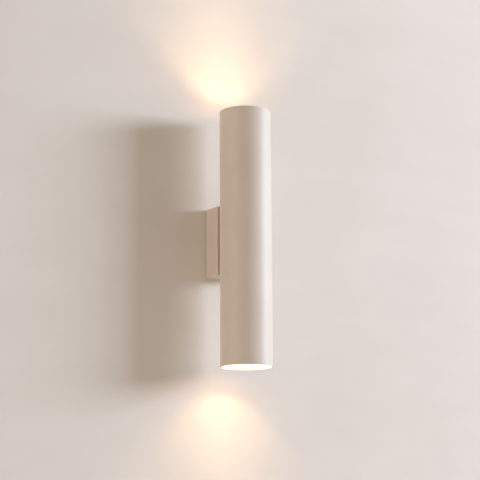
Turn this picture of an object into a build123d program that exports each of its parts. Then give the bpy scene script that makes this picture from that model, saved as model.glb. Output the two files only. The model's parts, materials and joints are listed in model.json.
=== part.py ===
from build123d import *

import os
from math import cos, radians, sin, sqrt, tan

# Up-and-down tube wall light, in millimetres.
#
# A straight round tube hangs upright on a small rectangular wall box. Inside the tube a
# C-shaped carrier holds two ceramic twist-lock lampholders, one facing up and one down,
# each with a 50 mm reflector lamp. The box covers a folded steel bracket, which is screwed
# to the wall and carries the terminal block. The leads run from the terminal block through
# a grommet into the tube.
#
# Frame: +Z is up, the wall is the plane Y = 0 and the light stands off it towards -Y.
# The origin is the middle of the two wall screws, on the wall.

# ---------------------------------------------------------------- driving dimensions
# Tube
TUBE_DIAMETER = 60.0
TUBE_LENGTH = 300.0
TUBE_WALL = 1.5
TUBE_RIM_CHAMFER = 0.4

# Wall box: a shell that is open towards the wall
BOX_WIDTH = 40.0
BOX_HEIGHT = 82.0
BOX_DEPTH = 25.0
BOX_WALL = 1.5
BOX_EDGE_ROUND = 1.2
BOX_TO_WALL_GAP = 0.5
BOX_TO_TUBE_GAP = 0.1

# Wall bracket: a plate with a flange folded forward at the top and at the bottom
BRACKET_WIDTH = 32.0
BRACKET_THICKNESS = 1.5
BRACKET_BEND = 2.0
BRACKET_TO_BOX_GAP = 0.3
FLANGE_WIDTH = 22.0
FLANGE_LENGTH = 14.0
WALL_SLOT_SPACING = 54.0
WALL_SLOT_LENGTH = 9.0
WALL_SLOT_WIDTH = 4.5

# Supply bush in the bracket, for the cable that comes out of the wall
SUPPLY_HEIGHT = -10.0
SUPPLY_BORE = 10.0
SUPPLY_BUSH_DIAMETER = 16.0
SUPPLY_FLANGE_DIAMETER = 19.0
SUPPLY_FLANGE_THICKNESS = 1.5

# Lamp carrier: a strip along the back of the tube with a tab folded in at each end
CARRIER_WIDTH = 22.0
CARRIER_THICKNESS = 1.5
CARRIER_BEND = 2.5
CARRIER_TAB_ROUND = 8.0
CARRIER_EDGE_GAP = 0.1
TAB_LEAD_SLOT_LENGTH = 14.0
TAB_LEAD_SLOT_WIDTH = 5.0

# Screws, by thread diameter
THREAD_GAP = 0.05
HOLE_GAP = 0.25
FIXING_SCREW_DIAMETER = 4.0
FIXING_SCREW_SPACING = 56.0
FIXING_HEAD_DIAMETER = 8.0
FIXING_HEAD_HEIGHT = 2.6
FIXING_NUT_ACROSS_FLATS = 7.0
FIXING_NUT_HEIGHT = 3.2
LOCK_SCREW_DIAMETER = 4.0
LOCK_SCREW_FROM_WALL = 9.5
LOCK_HEAD_DIAMETER = 7.6
LOCK_HEAD_HEIGHT = 2.2
LOCK_KEY_ACROSS_FLATS = 2.5
HOLDER_SCREW_DIAMETER = 3.0
HOLDER_SCREW_SPACING = 21.0
HOLDER_HEAD_DIAMETER = 5.5
HOLDER_HEAD_HEIGHT = 2.0
HOLDER_NUT_ACROSS_FLATS = 5.5
HOLDER_NUT_HEIGHT = 2.4
EARTH_SCREW_DIAMETER = 4.0
EARTH_HEAD_DIAMETER = 7.0
EARTH_HEAD_HEIGHT = 2.4
SCREW_END = 1.2
HEAD_CHAMFER = 0.6
RECESS_WIDTH = 0.8

# Spring washers
WASHER_THICKNESS = 1.0
WASHER_DIAMETER = 7.0
WASHER_SPLIT = 0.6

# Tube grommet, through the box front and the back of the tube
GROMMET_BORE = 6.4
GROMMET_HOLE = 10.0
GROMMET_FLANGE_DIAMETER = 13.0
GROMMET_FLANGE_THICKNESS = 1.2
GROMMET_GAP = 0.1

# Terminal block with three poles side by side
POLE_COUNT = 3
POLE_PITCH = 10.0
TERMINAL_HEIGHT = 10.0
TERMINAL_LENGTH = 16.0
TERMINAL_DEPTH = 12.5
TERMINAL_BASE_DEPTH = 3.2
TOWER_WIDTH = 7.0
TOWER_ROUND = 1.0
INSERT_WIDTH = 4.6
INSERT_BORE = 3.1
INSERT_INSET = 2.5
INSERT_BACK_WALL = 3.1
CLAMP_SCREW_DIAMETER = 2.6
CLAMP_SCREW_SPACING = 5.6
CLAMP_SCREW_SUNK = 1.6
TERMINAL_SCREW_DIAMETER = 2.5
TERMINAL_SCREW_HEAD_DIAMETER = 4.0
TERMINAL_SCREW_HEAD_HEIGHT = 1.6

# Earth terminals: one on the bracket and one on the carrier
BRACKET_EARTH_ACROSS = 10.5
BRACKET_EARTH_BELOW_FLANGE = 7.7
CARRIER_EARTH_HEIGHT = 14.5
LUG_THICKNESS = 0.8
LUG_DIAMETER = 7.4
LUG_BARREL_DIAMETER = 3.2
LUG_BARREL_LENGTH = 6.0
LUG_BARREL_GAP = 0.3

# Twist-lock lampholder, 10 mm between pin centres
PIN_SPACING = 10.0
TWIST_ANGLE = 30.0
PIN_NECK_DIAMETER = 3.0
PIN_HEAD_DIAMETER = 4.8
PIN_HEAD_HEIGHT = 2.6
PIN_TOP_CHAMFER = 0.5
PIN_RIVET_HEIGHT = 0.4
PIN_COUNT = 2
PIN_SIDE_GAP = 0.3
SEAT_GAP = 0.3
HOLDER_LENGTH = 29.0
HOLDER_WIDTH = 22.0
HOLDER_FACE_THICKNESS = 3.4
HOLDER_BODY_HEIGHT = 11.0
HOLDER_COVER_HEIGHT = 5.0
HOLDER_EDGE_ROUND = 0.8
CONTACT_THICKNESS = 0.4
CONTACT_WIDTH = 3.2
CONTACT_REACH = 3.6
CONTACT_TAIL_DIAMETER = 1.6
CONTACT_TAIL_LENGTH = 2.2

# 50 mm reflector lamp
LAMP_RECESS = 30.0
LAMP_DIAMETER = 50.0
LAMP_LENGTH = 48.0
LAMP_BEZEL_HEIGHT = 8.0
LAMP_BEZEL_WIDTH = 1.7
LAMP_EDGE_ROUND = 0.4
LAMP_NECK_DIAMETER = 28.8
LAMP_NECK_HEIGHT = 3.0
LAMP_CORE_DIAMETER = 42.0
LAMP_FINS = 16
LAMP_FIN_THICKNESS = 1.6
LAMP_BASE_DIAMETER = 25.0
LAMP_BASE_HEIGHT = 14.0
LAMP_BASE_WALL = 1.6
LAMP_BASE_FLOOR = 2.4
LAMP_JOINT_OVERLAP = 4.0
LAMP_PIECE_GAP = 0.1
LENS_THICKNESS = 1.8
LENS_SUNK = 0.5
LENS_LEDGE = 1.5
LENS_CONE_FRONT_DIAMETER = 34.0
LENS_CONE_BACK_DIAMETER = 13.0
LENS_TO_EMITTER_GAP = 0.8
LED_BOARD_DIAMETER = 37.0
LED_BOARD_THICKNESS = 1.6
LED_BOARD_FROM_FRONT = 19.0
EMITTER_DIAMETER = 9.0
EMITTER_HEIGHT = 0.7
DRIVER_BOARD_WIDTH = 17.0
DRIVER_TO_LED_BOARD_GAP = 3.2
DRIVER_BOARD_THICKNESS = 1.2
CAPACITOR_DIAMETER = 6.0
CAPACITOR_LENGTH = 11.0

# Leads
LEAD_DIAMETER = 1.8
LEAD_RING_RADIUS = 1.7
LEAD_PAIR_SPACING = 2.1
LEAD_IN_FRONT_OF_BLOCK = 3.4
LEAD_ABOVE_BLOCK = 7.0
LEAD_STRAIGHT_IN_TUBE = 7.0
LEAD_DROP = 20.0
LEAD_SWING = 9.0
LEAD_SWING_HEIGHT = 15.0
LEAD_LAYER = 2.2
EARTH_LEAD_LOOP = 8.0
EARTH_LEAD_BOW = 5.5
LEAD_END_GAP = 0.1

# ---------------------------------------------------------------- derived places
TUBE_RADIUS = TUBE_DIAMETER / 2
TUBE_INNER_RADIUS = TUBE_RADIUS - TUBE_WALL
AXIS_Y = -(BOX_DEPTH + BOX_TO_TUBE_GAP + TUBE_RADIUS)
TUBE_BACK_Y = AXIS_Y + TUBE_RADIUS
TUBE_BACK_INNER_Y = AXIS_Y + TUBE_INNER_RADIUS

BOX_FRONT_Y = -BOX_DEPTH
BOX_FRONT_INNER_Y = BOX_FRONT_Y + BOX_WALL
PLATE_FRONT_Y = -BRACKET_THICKNESS
BRACKET_HALF_HEIGHT = BOX_HEIGHT / 2 - BOX_WALL - BRACKET_TO_BOX_GAP

LUG_BARREL_OFFSET = (WASHER_DIAMETER + LUG_BARREL_DIAMETER) / 2 + LUG_BARREL_GAP

BRACKET_EARTH_HEIGHT = BRACKET_HALF_HEIGHT - BRACKET_THICKNESS - BRACKET_EARTH_BELOW_FLANGE

CARRIER_BACK_Y = AXIS_Y + sqrt(TUBE_INNER_RADIUS**2 - (CARRIER_WIDTH / 2) ** 2) - CARRIER_EDGE_GAP
CARRIER_FRONT_Y = CARRIER_BACK_Y - CARRIER_THICKNESS

# Heights in a lamp's own frame: 0 is the lamp's base face, the lamp points to +Z
PIN_NECK_LENGTH = SEAT_GAP + HOLDER_FACE_THICKNESS + PIN_SIDE_GAP
PIN_END = -(PIN_NECK_LENGTH + PIN_HEAD_HEIGHT)
HOLDER_FACE = -SEAT_GAP
HOLDER_JOINT = HOLDER_FACE - HOLDER_BODY_HEIGHT
HOLDER_BACK = HOLDER_JOINT - HOLDER_COVER_HEIGHT
CONTACT_TAIL_END = HOLDER_JOINT - CONTACT_TAIL_LENGTH
LENS_FRONT = LAMP_LENGTH - LENS_SUNK
LENS_BACK = LENS_FRONT - LENS_THICKNESS
LED_BOARD_SEAT = LAMP_LENGTH - LED_BOARD_FROM_FRONT
LED_BOARD_TOP = LED_BOARD_SEAT + LED_BOARD_THICKNESS
EMITTER_TOP = LED_BOARD_TOP + EMITTER_HEIGHT

# The lamp's base face, from the middle of the tube
LAMP_BASE_HEIGHT_IN_TUBE = TUBE_LENGTH / 2 - LAMP_RECESS - LAMP_LENGTH
TAB_OUTER_HEIGHT = LAMP_BASE_HEIGHT_IN_TUBE + HOLDER_BACK
TAB_INNER_HEIGHT = TAB_OUTER_HEIGHT - CARRIER_THICKNESS

TERMINAL_FRONT_Y = PLATE_FRONT_Y - TERMINAL_DEPTH
TERMINAL_TOP = TERMINAL_HEIGHT + TERMINAL_LENGTH / 2
INSERT_Y = PLATE_FRONT_Y - INSERT_BACK_WALL - INSERT_WIDTH / 2
POLE_X = [(i - (POLE_COUNT - 1) / 2) * POLE_PITCH for i in range(POLE_COUNT)]

LEAD_RADIUS = LEAD_DIAMETER / 2
LEAD_FRONT_Y = TERMINAL_FRONT_Y - LEAD_IN_FRONT_OF_BLOCK
LEAD_TOP = TERMINAL_TOP + LEAD_ABOVE_BLOCK


# ---------------------------------------------------------------- helpers
def rod(radius, start, end, direction="Z", at=(0.0, 0.0)):
    """A cylinder along one axis, from start to end; at gives its two other coordinates in X, Y, Z order."""
    middle, length = (start + end) / 2, abs(end - start)
    cylinder = Cylinder(radius, length)
    if direction == "Z":
        return Pos(at[0], at[1], middle) * cylinder
    if direction == "Y":
        return Pos(at[0], middle, at[1]) * Rot(90, 0, 0) * cylinder
    return Pos(middle, at[0], at[1]) * Rot(0, 90, 0) * cylinder


def ring(outer_radius, inner_radius, start, end, direction="Z", at=(0.0, 0.0)):
    """A tube along one axis."""
    return rod(outer_radius, start, end, direction, at) - rod(inner_radius, start, end, direction, at)


def block(x, y, z):
    """A box between pairs of limits."""
    return Pos(sum(x) / 2, sum(y) / 2, sum(z) / 2) * Box(abs(x[1] - x[0]), abs(y[1] - y[0]), abs(z[1] - z[0]))


def channel(width, back, front, half_height, thickness, bend):
    """A strip folded to a C: a leg at Y = back and two tabs that reach to Y = front."""
    outside = Rectangle(back - front, 2 * half_height, align=(Align.MAX, Align.CENTER))
    inside = Rectangle(back - front, 2 * (half_height - thickness), align=(Align.MAX, Align.CENTER))
    profile = Pos(back, 0) * outside - Pos(back - thickness, 0) * inside
    outer_corners = [v for v in profile.vertices() if abs(v.X - back) < thickness / 4]
    profile = fillet(outer_corners, bend)
    inner_corners = [v for v in profile.vertices() if abs(v.X - back + thickness) < thickness / 4]
    profile = fillet(inner_corners, bend - thickness)
    return extrude(Plane.YZ * profile, width / 2, both=True)


def screw(diameter, length, head_diameter, head_height, key="cross"):
    """A screw on +Z with its head above Z = 0 and its shank below."""
    head = rod(head_diameter / 2, 0, head_height)
    head = chamfer(head.edges().group_by(Axis.Z)[-1], HEAD_CHAMFER)
    depth = 0.55 * head_height
    if key == "hex":
        recess = extrude(Pos(0, 0, head_height) * hexagon(LOCK_KEY_ACROSS_FLATS), -depth)
    else:
        arm = head_diameter / 2 - HEAD_CHAMFER - RECESS_WIDTH / 2
        bars = [(arm, RECESS_WIDTH / 2), (RECESS_WIDTH / 2, arm)]
        recess = Part() + [block((-x, x), (-y, y), (head_height - depth, head_height)) for x, y in bars]
    return head - recess + rod(diameter / 2 - THREAD_GAP, -length, 0)


def hexagon(across_flats):
    return RegularPolygon(across_flats / 2, 6, major_radius=False)


def nut(diameter, across_flats, height):
    """A hexagon nut on +Z that stands on Z = 0."""
    return extrude(hexagon(across_flats), height) - rod(diameter / 2, 0, height)


def spring_washer(screw_diameter):
    """A washer split at one side, that stands on Z = 0."""
    washer = ring(WASHER_DIAMETER / 2, screw_diameter / 2 + THREAD_GAP, 0, WASHER_THICKNESS)
    split = (-WASHER_SPLIT / 2, WASHER_SPLIT / 2)
    return washer - block((0, WASHER_DIAMETER), split, (0, WASHER_THICKNESS))


def facing_wall(x, y, z):
    """Turns a +Z piece to point to +Y, towards the wall."""
    return Pos(x, y, z) * Rot(-90, 0, 0)


def facing_room(x, y, z):
    """Turns a +Z piece to point to -Y, into the room."""
    return Pos(x, y, z) * Rot(90, 0, 0)


def upper(piece):
    """Places a piece of the lamp's own frame in the upper half of the tube."""
    return Pos(0, AXIS_Y, LAMP_BASE_HEIGHT_IN_TUBE) * piece


def lower(piece):
    """Places a piece of the lamp's own frame in the lower half, upside down."""
    return Pos(0, AXIS_Y, -LAMP_BASE_HEIGHT_IN_TUBE) * Rot(0, 180, 0) * piece


# ---------------------------------------------------------------- tube and wall box
def tube_body():
    tube = Pos(0, AXIS_Y, 0) * (
        Cylinder(TUBE_RADIUS, TUBE_LENGTH) - Cylinder(TUBE_INNER_RADIUS, TUBE_LENGTH)
    )
    rims = tube.edges().group_by(Axis.Z)
    tube = chamfer(rims[0] + rims[-1], min(TUBE_RIM_CHAMFER, 0.4 * TUBE_WALL))
    fixing_holes = [
        rod(FIXING_SCREW_DIAMETER / 2 + HOLE_GAP, AXIS_Y + TUBE_INNER_RADIUS / 2, BOX_FRONT_Y, "Y", (0, z))
        for z in fixing_heights()
    ]
    cable_hole = rod(GROMMET_HOLE / 2, AXIS_Y + TUBE_INNER_RADIUS / 2, BOX_FRONT_Y, "Y")
    return tube - fixing_holes - cable_hole


def fixing_heights():
    return (-FIXING_SCREW_SPACING / 2, FIXING_SCREW_SPACING / 2)


def wall_box():
    half_width, half_height = BOX_WIDTH / 2, BOX_HEIGHT / 2
    outside = block(
        (-half_width, half_width), (BOX_FRONT_Y, -BOX_TO_WALL_GAP), (-half_height, half_height)
    )
    open_rim = outside.faces().sort_by(Axis.Y)[-1].edges()
    outside = fillet([e for e in outside.edges() if e not in open_rim], BOX_EDGE_ROUND)
    inside = block(
        (-half_width + BOX_WALL, half_width - BOX_WALL),
        (BOX_FRONT_INNER_Y, 0),
        (-half_height + BOX_WALL, half_height - BOX_WALL),
    )
    fixing_holes = [
        rod(FIXING_SCREW_DIAMETER / 2 + HOLE_GAP, BOX_FRONT_Y, BOX_FRONT_INNER_Y, "Y", (0, z))
        for z in fixing_heights()
    ]
    cable_hole = rod(GROMMET_HOLE / 2, BOX_FRONT_Y, BOX_FRONT_INNER_Y, "Y")
    lock_holes = rod(
        LOCK_SCREW_DIAMETER / 2 + HOLE_GAP, -half_height, half_height, "Z", (0, -LOCK_SCREW_FROM_WALL)
    )
    return outside - inside - fixing_holes - cable_hole - lock_holes


def wall_bracket():
    bracket = channel(
        BRACKET_WIDTH, 0, -FLANGE_LENGTH, BRACKET_HALF_HEIGHT, BRACKET_THICKNESS, BRACKET_BEND
    )
    beside = (BRACKET_WIDTH - FLANGE_WIDTH) / 2
    for side in (-1, 1):
        edge = side * BRACKET_WIDTH / 2
        bracket -= block(
            (edge - side * beside, edge),
            (-FLANGE_LENGTH, -BRACKET_BEND),
            (-BRACKET_HALF_HEIGHT, BRACKET_HALF_HEIGHT),
        )
    slot = Plane.XZ * SlotOverall(WALL_SLOT_LENGTH, WALL_SLOT_WIDTH, rotation=90)
    slots = [
        Pos(0, 0, z) * extrude(slot, BRACKET_THICKNESS, both=True)
        for z in (-WALL_SLOT_SPACING / 2, WALL_SLOT_SPACING / 2)
    ]
    supply_hole = rod(SUPPLY_BUSH_DIAMETER / 2, 0, PLATE_FRONT_Y, "Y", (0, SUPPLY_HEIGHT))
    earth_hole = rod(
        EARTH_SCREW_DIAMETER / 2, 0, PLATE_FRONT_Y, "Y", (BRACKET_EARTH_ACROSS, BRACKET_EARTH_HEIGHT)
    )
    terminal_hole = rod(
        TERMINAL_SCREW_DIAMETER / 2, 0, PLATE_FRONT_Y, "Y", (terminal_screw_x(), TERMINAL_HEIGHT)
    )
    lock_holes = rod(
        LOCK_SCREW_DIAMETER / 2,
        -BRACKET_HALF_HEIGHT,
        BRACKET_HALF_HEIGHT,
        "Z",
        (0, -LOCK_SCREW_FROM_WALL),
    )
    return bracket - slots - supply_hole - earth_hole - terminal_hole - lock_holes


def box_lock_screws():
    length = BOX_WALL + BRACKET_TO_BOX_GAP + BRACKET_THICKNESS + SCREW_END
    one = screw(LOCK_SCREW_DIAMETER, length, LOCK_HEAD_DIAMETER, LOCK_HEAD_HEIGHT, key="hex")
    top = Pos(0, -LOCK_SCREW_FROM_WALL, BOX_HEIGHT / 2) * one
    bottom = Pos(0, -LOCK_SCREW_FROM_WALL, -BOX_HEIGHT / 2) * Rot(180, 0, 0) * one
    return [top, bottom]


def supply_bush():
    bush = ring(
        SUPPLY_BUSH_DIAMETER / 2 - GROMMET_GAP, SUPPLY_BORE / 2, 0, PLATE_FRONT_Y, "Y", (0, SUPPLY_HEIGHT)
    )
    flange = ring(
        SUPPLY_FLANGE_DIAMETER / 2,
        SUPPLY_BORE / 2,
        PLATE_FRONT_Y,
        PLATE_FRONT_Y - SUPPLY_FLANGE_THICKNESS,
        "Y",
        (0, SUPPLY_HEIGHT),
    )
    return bush + flange


# ---------------------------------------------------------------- fixing the tube
def tube_fixing_screws():
    under_head = BOX_FRONT_INNER_Y + WASHER_THICKNESS
    length = under_head - CARRIER_FRONT_Y + FIXING_NUT_HEIGHT + SCREW_END
    one = screw(FIXING_SCREW_DIAMETER, length, FIXING_HEAD_DIAMETER, FIXING_HEAD_HEIGHT)
    return [facing_wall(0, under_head, z) * one for z in fixing_heights()]


def tube_fixing_washers():
    one = spring_washer(FIXING_SCREW_DIAMETER)
    return [facing_wall(0, BOX_FRONT_INNER_Y, z) * one for z in fixing_heights()]


def tube_fixing_nuts():
    one = nut(FIXING_SCREW_DIAMETER, FIXING_NUT_ACROSS_FLATS, FIXING_NUT_HEIGHT)
    return [facing_room(0, CARRIER_FRONT_Y, z) * one for z in fixing_heights()]


def tube_grommet():
    inner_flange_end = BOX_FRONT_INNER_Y + GROMMET_FLANGE_THICKNESS
    flange_sag = TUBE_INNER_RADIUS - sqrt(TUBE_INNER_RADIUS**2 - (GROMMET_FLANGE_DIAMETER / 2) ** 2)
    tube_flange_end = TUBE_BACK_INNER_Y - flange_sag - GROMMET_FLANGE_THICKNESS
    neck = rod(GROMMET_HOLE / 2 - GROMMET_GAP, tube_flange_end, inner_flange_end, "Y")
    box_flange = rod(GROMMET_FLANGE_DIAMETER / 2, BOX_FRONT_INNER_Y, inner_flange_end, "Y")
    tube_flange = rod(GROMMET_FLANGE_DIAMETER / 2, tube_flange_end, TUBE_BACK_Y, "Y") & (
        Pos(0, AXIS_Y, 0) * Cylinder(TUBE_INNER_RADIUS, 2 * GROMMET_FLANGE_DIAMETER)
    )
    return neck + box_flange + tube_flange - rod(GROMMET_BORE / 2, tube_flange_end, inner_flange_end, "Y")


def lamp_carrier():
    tab_end = AXIS_Y - HOLDER_LENGTH / 2
    carrier = channel(
        CARRIER_WIDTH, CARRIER_BACK_Y, tab_end, TAB_OUTER_HEIGHT, CARRIER_THICKNESS, CARRIER_BEND
    )
    free_corners = [e for e in carrier.edges().filter_by(Axis.Z) if abs(e.center().Y - tab_end) < 0.1]
    carrier = fillet(free_corners, CARRIER_TAB_ROUND)
    lead_slot = extrude(SlotOverall(TAB_LEAD_SLOT_LENGTH, TAB_LEAD_SLOT_WIDTH), TAB_OUTER_HEIGHT, both=True)
    carrier -= Pos(0, AXIS_Y, 0) * lead_slot
    for y in holder_screw_places():
        carrier -= rod(
            HOLDER_SCREW_DIAMETER / 2 + HOLE_GAP,
            -TAB_OUTER_HEIGHT,
            TAB_OUTER_HEIGHT,
            "Z",
            (0, AXIS_Y + y),
        )
    for z in fixing_heights():
        carrier -= rod(
            FIXING_SCREW_DIAMETER / 2 + HOLE_GAP, CARRIER_FRONT_Y, CARRIER_BACK_Y, "Y", (0, z)
        )
    grommet_hole = GROMMET_FLANGE_DIAMETER / 2 + 3 * HOLE_GAP
    carrier -= rod(grommet_hole, CARRIER_FRONT_Y, CARRIER_BACK_Y, "Y")
    return carrier - rod(
        EARTH_SCREW_DIAMETER / 2, CARRIER_FRONT_Y, CARRIER_BACK_Y, "Y", (0, CARRIER_EARTH_HEIGHT)
    )


# ---------------------------------------------------------------- terminals
def terminal_screw_x():
    """Between the middle pole and the one beside it."""
    return POLE_PITCH / 2


def terminal_block():
    half_width = (POLE_COUNT - 1) / 2 * POLE_PITCH + TOWER_WIDTH / 2
    low, high = TERMINAL_HEIGHT - TERMINAL_LENGTH / 2, TERMINAL_TOP
    base = block((-half_width, half_width), (PLATE_FRONT_Y - TERMINAL_BASE_DEPTH, PLATE_FRONT_Y), (low, high))
    body = base
    for x in POLE_X:
        tower = block(
            (x - TOWER_WIDTH / 2, x + TOWER_WIDTH / 2), (TERMINAL_FRONT_Y, PLATE_FRONT_Y), (low, high)
        )
        body += fillet(tower.edges().filter_by(Axis.Z).group_by(Axis.Y)[0], TOWER_ROUND)
    for x in POLE_X:
        body -= square_bar(INSERT_WIDTH + 2 * THREAD_GAP, x, low, high)
        for z in clamp_screw_heights():
            body -= rod(CLAMP_SCREW_DIAMETER / 2 + HOLE_GAP, TERMINAL_FRONT_Y, INSERT_Y, "Y", (x, z))
    body -= rod(
        TERMINAL_SCREW_DIAMETER / 2 + HOLE_GAP,
        TERMINAL_FRONT_Y,
        PLATE_FRONT_Y,
        "Y",
        (terminal_screw_x(), TERMINAL_HEIGHT),
    )
    return body - rod(
        TERMINAL_SCREW_HEAD_DIAMETER / 2 + HOLE_GAP,
        TERMINAL_FRONT_Y,
        PLATE_FRONT_Y - TERMINAL_BASE_DEPTH,
        "Y",
        (terminal_screw_x(), TERMINAL_HEIGHT),
    )


def square_bar(width, x, low, high):
    """A square bar along Z on a pole's middle line."""
    return block((x - width / 2, x + width / 2), (INSERT_Y - width / 2, INSERT_Y + width / 2), (low, high))


def clamp_screw_heights():
    return (TERMINAL_HEIGHT - CLAMP_SCREW_SPACING / 2, TERMINAL_HEIGHT + CLAMP_SCREW_SPACING / 2)


def terminal_inserts():
    """One square brass bar for each pole, with a bore along it and two tapped holes."""
    low, high = TERMINAL_HEIGHT - TERMINAL_LENGTH / 2 + INSERT_INSET, TERMINAL_TOP - INSERT_INSET
    inserts = []
    for x in POLE_X:
        insert = square_bar(INSERT_WIDTH, x, low, high)
        insert -= rod(INSERT_BORE / 2, low, high, "Z", (x, INSERT_Y))
        for z in clamp_screw_heights():
            insert -= rod(CLAMP_SCREW_DIAMETER / 2, INSERT_Y - INSERT_WIDTH, INSERT_Y, "Y", (x, z))
        inserts.append(insert)
    return inserts


def terminal_clamp_screws():
    head_y = TERMINAL_FRONT_Y + CLAMP_SCREW_SUNK
    length = INSERT_Y - head_y
    one = rod(CLAMP_SCREW_DIAMETER / 2 - THREAD_GAP, -length, 0)
    one -= block(
        (-CLAMP_SCREW_DIAMETER, CLAMP_SCREW_DIAMETER), (-RECESS_WIDTH / 3, RECESS_WIDTH / 3), (-RECESS_WIDTH, 0)
    )
    return [facing_room(x, head_y, z) * one for x in POLE_X for z in clamp_screw_heights()]


def terminal_fixing_screw():
    under_head = PLATE_FRONT_Y - TERMINAL_BASE_DEPTH
    length = TERMINAL_BASE_DEPTH + BRACKET_THICKNESS
    one = screw(
        TERMINAL_SCREW_DIAMETER, length, TERMINAL_SCREW_HEAD_DIAMETER, TERMINAL_SCREW_HEAD_HEIGHT
    )
    return facing_room(terminal_screw_x(), under_head, TERMINAL_HEIGHT) * one


def earth_lug():
    """A ring terminal that lies on Z = 0, with its barrel bent up beside the screw, towards +Y."""
    eye = ring(LUG_DIAMETER / 2, EARTH_SCREW_DIAMETER / 2 + HOLE_GAP, 0, LUG_THICKNESS)
    half_tail = LUG_BARREL_DIAMETER / 2
    tail = block((-half_tail, half_tail), (LUG_DIAMETER / 2 - 1, LUG_BARREL_OFFSET), (0, LUG_THICKNESS))
    barrel = rod(half_tail, 0, LUG_BARREL_LENGTH, "Z", (0, LUG_BARREL_OFFSET))
    bore = rod(LEAD_RADIUS + THREAD_GAP, LUG_THICKNESS, LUG_BARREL_LENGTH, "Z", (0, LUG_BARREL_OFFSET))
    return eye + tail + barrel - bore


def earth_places():
    """The frames of the two earth terminals: on the bracket, barrel down and inwards, and on the carrier, barrel up."""
    on_bracket = Pos(BRACKET_EARTH_ACROSS, PLATE_FRONT_Y, BRACKET_EARTH_HEIGHT) * Rot(90, 0, 0)
    on_carrier = Pos(0, CARRIER_FRONT_Y, CARRIER_EARTH_HEIGHT) * Rot(90, 0, 0)
    return on_bracket, on_carrier


def earth_lugs():
    on_bracket, on_carrier = earth_places()
    return [on_bracket * earth_lug(), on_carrier * earth_lug()]


def earth_screws():
    stack = LUG_THICKNESS + WASHER_THICKNESS
    on_bracket, on_carrier = earth_places()
    bracket_screw = screw(
        EARTH_SCREW_DIAMETER, stack + BRACKET_THICKNESS, EARTH_HEAD_DIAMETER, EARTH_HEAD_HEIGHT
    )
    carrier_screw = screw(
        EARTH_SCREW_DIAMETER, stack + CARRIER_THICKNESS, EARTH_HEAD_DIAMETER, EARTH_HEAD_HEIGHT
    )
    lift = Pos(0, 0, stack)
    return [on_bracket * lift * bracket_screw, on_carrier * lift * carrier_screw]


def earth_washers():
    lift = Pos(0, 0, LUG_THICKNESS)
    return [place * lift * spring_washer(EARTH_SCREW_DIAMETER) for place in earth_places()]


# ---------------------------------------------------------------- lampholder, in the lamp's frame
def holder_screw_places():
    return (-HOLDER_SCREW_SPACING / 2, HOLDER_SCREW_SPACING / 2)


def holder_outline():
    return Circle(HOLDER_LENGTH / 2) & Rectangle(HOLDER_WIDTH, HOLDER_LENGTH)


def pin_angles():
    return [360 / PIN_COUNT * i for i in range(PIN_COUNT)]


def pin_track(width):
    """The two arcs that the pins follow as the lamp is turned, as a sketch."""
    arcs = [CenterArc((0, 0), PIN_SPACING / 2, start, TWIST_ANGLE) for start in pin_angles()]
    return Sketch() + [SlotArc(arc, width) for arc in arcs]


def pin_entries(diameter):
    """The round holes where the pin heads go in, at the unlocked end of the arcs."""
    return Sketch() + [
        Rot(0, 0, TWIST_ANGLE + start) * Pos(PIN_SPACING / 2, 0) * Circle(diameter / 2)
        for start in pin_angles()
    ]


def lampholder_body():
    body = extrude(Pos(0, 0, HOLDER_JOINT) * holder_outline(), HOLDER_BODY_HEIGHT)
    body = fillet(body.edges().group_by(Axis.Z)[-1], HOLDER_EDGE_ROUND)
    face_cut = pin_track(PIN_NECK_DIAMETER + 2 * PIN_SIDE_GAP) + pin_entries(
        PIN_HEAD_DIAMETER + 2 * PIN_SIDE_GAP
    )
    body -= extrude(Pos(0, 0, HOLDER_JOINT) * face_cut, HOLDER_BODY_HEIGHT)
    room = extrude(
        Pos(0, 0, HOLDER_JOINT) * pin_track(PIN_HEAD_DIAMETER + 3 * PIN_SIDE_GAP),
        HOLDER_BODY_HEIGHT - HOLDER_FACE_THICKNESS,
    )
    body -= room
    for y in holder_screw_places():
        body -= rod(HOLDER_SCREW_DIAMETER / 2 + HOLE_GAP, HOLDER_JOINT, HOLDER_FACE, "Z", (0, y))
        body -= rod(
            HOLDER_HEAD_DIAMETER / 2 + HOLE_GAP, holder_screw_seat(), HOLDER_FACE, "Z", (0, y)
        )
    return body


def holder_screw_seat():
    """Sunk by its head's height and a little more, so that the lamp turns clear of it."""
    return HOLDER_FACE - HOLDER_HEAD_HEIGHT - 2 * PIN_SIDE_GAP


def lampholder_cover():
    cover = extrude(Pos(0, 0, HOLDER_BACK) * holder_outline(), HOLDER_COVER_HEIGHT)
    for y in holder_screw_places():
        cover -= rod(HOLDER_SCREW_DIAMETER / 2 + HOLE_GAP, HOLDER_BACK, HOLDER_JOINT, "Z", (0, y))
    for x in (-PIN_SPACING / 2, PIN_SPACING / 2):
        cover -= rod(LEAD_RADIUS + THREAD_GAP, HOLDER_BACK, HOLDER_JOINT, "Z", (x, 0))
    return cover


def lampholder_contacts():
    """Two folded springs that press on the ends of the locked pins, each with a tail for its lead."""
    low, high = HOLDER_JOINT, PIN_END - PIN_SIDE_GAP
    near, far = -CONTACT_REACH / 2, CONTACT_REACH / 2
    step = CONTACT_THICKNESS
    strip = Polygon(
        (near, low),
        (far, low),
        (far, high),
        (near, high),
        (near, high - step),
        (far - step, high - step),
        (far - step, low + step),
        (near, low + step),
        align=None,
    )
    spring = extrude(Plane.YZ * strip, CONTACT_WIDTH / 2, both=True)
    tail = rod(CONTACT_TAIL_DIAMETER / 2, CONTACT_TAIL_END, low)
    one = Pos(PIN_SPACING / 2, 0, 0) * (spring + tail)
    return [Rot(0, 0, angle) * one for angle in pin_angles()]


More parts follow.
